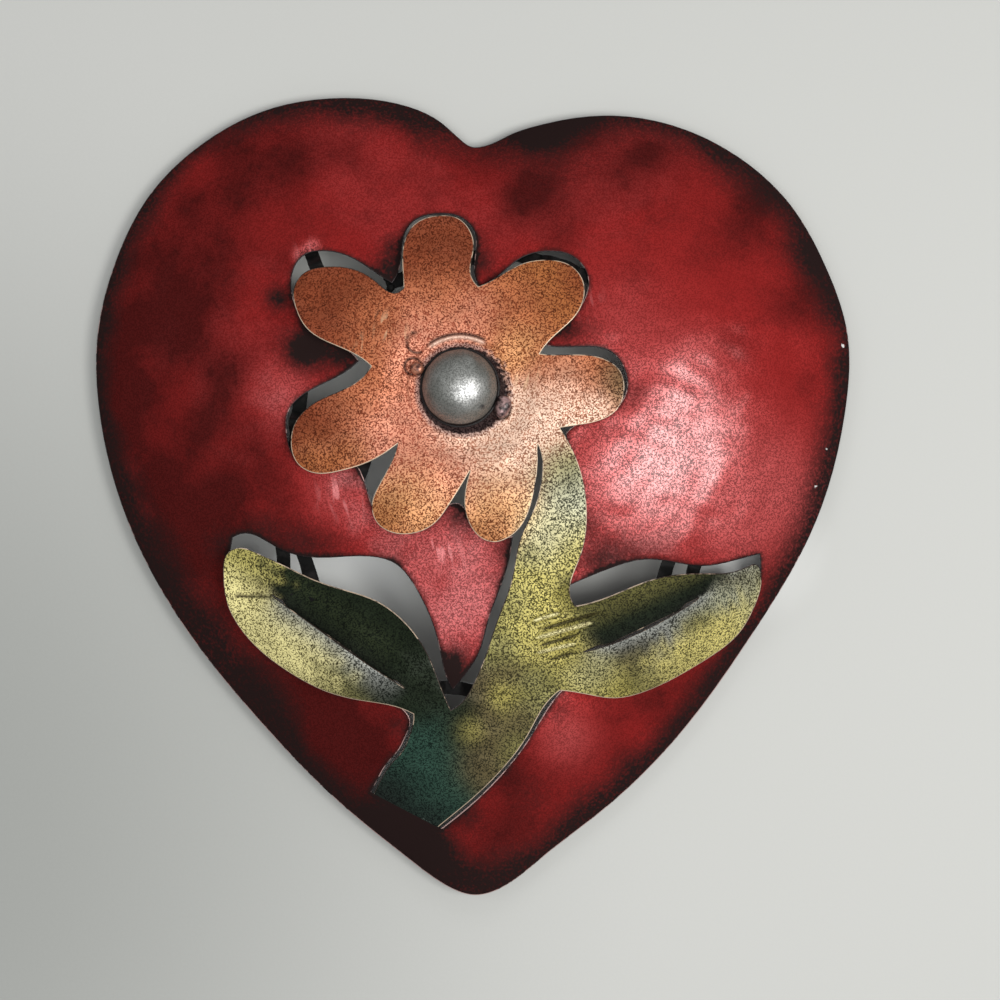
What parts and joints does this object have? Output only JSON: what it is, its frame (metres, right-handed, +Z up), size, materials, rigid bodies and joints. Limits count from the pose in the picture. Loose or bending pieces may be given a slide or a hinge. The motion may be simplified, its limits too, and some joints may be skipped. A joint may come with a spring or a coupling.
{
  "type": "heart-shaped tin wall ornament",
  "caption": "Domed sheet-metal heart for a wall, with a flower, stem and two folded leaves cut out of it, raised on small straps, and a round cap in the flower.",
  "frame": {"origin": "centre of the hanging hole on the back face of the hanger bar", "axes": "+X to the viewer's right, +Y out of the back towards the wall, +Z up; the front of the heart looks along -Y and the rim rests on the wall at y = +3 mm"},
  "size_m": [0.2836, 0.0456, 0.3],
  "materials": {
    "heart_paint": "deep metallic red with a black airbrushed rim and black back",
    "flower_paint": "copper and orange petals, yellow and green stem and leaves, dark speckle",
    "cap_paint": "speckled silver grey",
    "black_paint": "black"
  },
  "bodies": {
    "root": {"heart_shell": "heart_paint", "flower_spray": "flower_paint", "centre_cap": "cap_paint", "cap_tack_left": "cap_paint", "cap_tack_right": "cap_paint", "hanger_bar": "black_paint", "strap_upper_left_petal": "black_paint", "strap_top_petal": "black_paint", "strap_upper_right_petal": "black_paint", "strap_lower_left_petal": "black_paint", "strap_bottom_left_petal": "black_paint", "strap_left_leaf_outer": "black_paint", "strap_left_leaf_inner": "black_paint", "strap_right_leaf_inner": "black_paint", "strap_right_leaf_outer": "black_paint", "strap_stem": "black_paint"}
  },
  "joints": []
}
